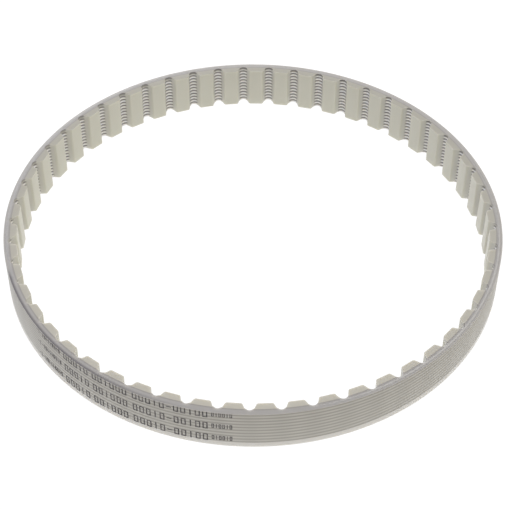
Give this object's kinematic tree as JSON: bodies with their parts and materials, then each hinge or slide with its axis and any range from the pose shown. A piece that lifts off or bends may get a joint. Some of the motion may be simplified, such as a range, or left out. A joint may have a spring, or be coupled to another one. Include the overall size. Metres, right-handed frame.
{
  "type": "timing belt",
  "caption": "Endless synchronous belt: a flat translucent polyurethane band with trapezoid teeth inside and steel tension cords wound in it, standing on its cut edge as a round loop.",
  "frame": {"origin": "centre of the loop, on the lower cut edge", "axes": "+Z along the axis that the loop runs round, +Y through the middle of tooth_01, the teeth numbered counter-clockwise seen from +Z"},
  "size_m": [0.1708, 0.1708, 0.016],
  "materials": {
    "polyurethane": "cast thermoset polyurethane, natural milky grey-cream, translucent, satin as it leaves the mould, with slit edges",
    "steel_cord": "bright zinc-coated steel cord, stranded, one laid left and one laid right"
  },
  "bodies": {
    "root": {"belt_back": "polyurethane", "tension_cord_s": "steel_cord", "tension_cord_z": "steel_cord", "tooth_01": "polyurethane", "tooth_02": "polyurethane", "tooth_03": "polyurethane", "tooth_04": "polyurethane", "tooth_05": "polyurethane", "tooth_06": "polyurethane", "tooth_07": "polyurethane", "tooth_08": "polyurethane", "tooth_09": "polyurethane", "tooth_10": "polyurethane", "tooth_11": "polyurethane", "tooth_12": "polyurethane", "tooth_13": "polyurethane", "tooth_14": "polyurethane", "tooth_15": "polyurethane", "tooth_16": "polyurethane", "tooth_17": "polyurethane", "tooth_18": "polyurethane", "tooth_19": "polyurethane", "tooth_20": "polyurethane", "tooth_21": "polyurethane", "tooth_22": "polyurethane", "tooth_23": "polyurethane", "tooth_24": "polyurethane", "tooth_25": "polyurethane", "tooth_26": "polyurethane", "tooth_27": "polyurethane", "tooth_28": "polyurethane", "tooth_29": "polyurethane", "tooth_30": "polyurethane", "tooth_31": "polyurethane", "tooth_32": "polyurethane", "tooth_33": "polyurethane", "tooth_34": "polyurethane", "tooth_35": "polyurethane", "tooth_36": "polyurethane", "tooth_37": "polyurethane", "tooth_38": "polyurethane", "tooth_39": "polyurethane", "tooth_40": "polyurethane", "tooth_41": "polyurethane", "tooth_42": "polyurethane", "tooth_43": "polyurethane", "tooth_44": "polyurethane", "tooth_45": "polyurethane", "tooth_46": "polyurethane", "tooth_47": "polyurethane", "tooth_48": "polyurethane", "tooth_49": "polyurethane", "tooth_50": "polyurethane", "tooth_51": "polyurethane", "tooth_52": "polyurethane", "tooth_53": "polyurethane"}
  },
  "joints": []
}
